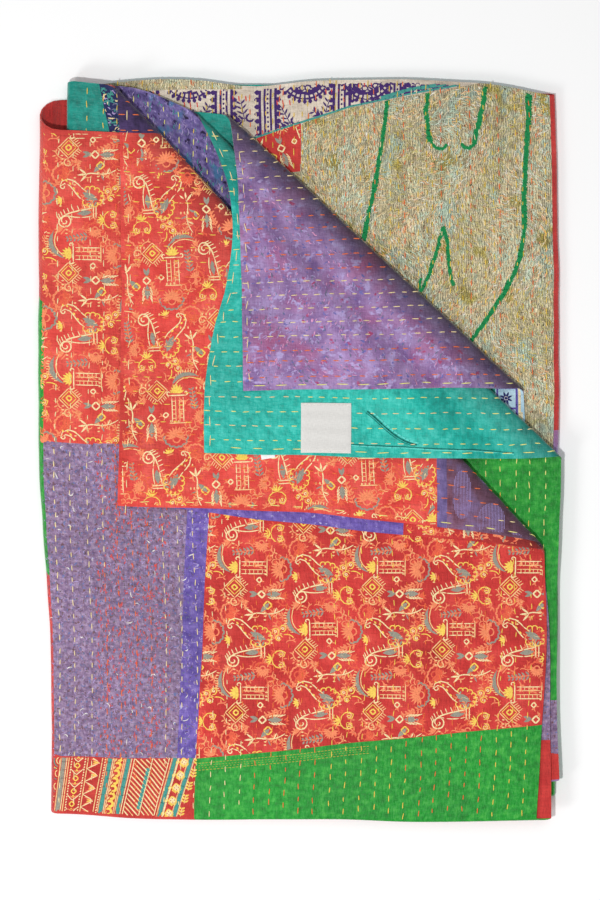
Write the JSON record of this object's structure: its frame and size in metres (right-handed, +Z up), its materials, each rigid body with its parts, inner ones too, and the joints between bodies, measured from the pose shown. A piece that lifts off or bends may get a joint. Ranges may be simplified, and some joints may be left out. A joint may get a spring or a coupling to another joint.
{
  "type": "folded kantha quilt",
  "caption": "Patchwork throw of layered sari cloth with running stitch, folded flat in eight plies with its upper corners turned back, ready to lie on a bed, shelf or table.",
  "frame": {"origin": "centre of the bounding box in plan, on the surface that the folded quilt lies on", "axes": "+Z up out of the pile; +Y along the pile's long side, towards the free hems; +X towards the right-hand hems of the turned corners"},
  "size_m": [0.4503, 0.6398, 0.0283],
  "materials": {
    "quilted_cloth": "patchwork of printed cotton and silk saris with rows of running stitch",
    "label_tape": "light grey woven tape, blank",
    "tag_satin": "white satin tape, blank"
  },
  "bodies": {
    "root": {"quilt": "quilted_cloth", "label": "label_tape", "care_tag": "tag_satin"}
  },
  "joints": []
}
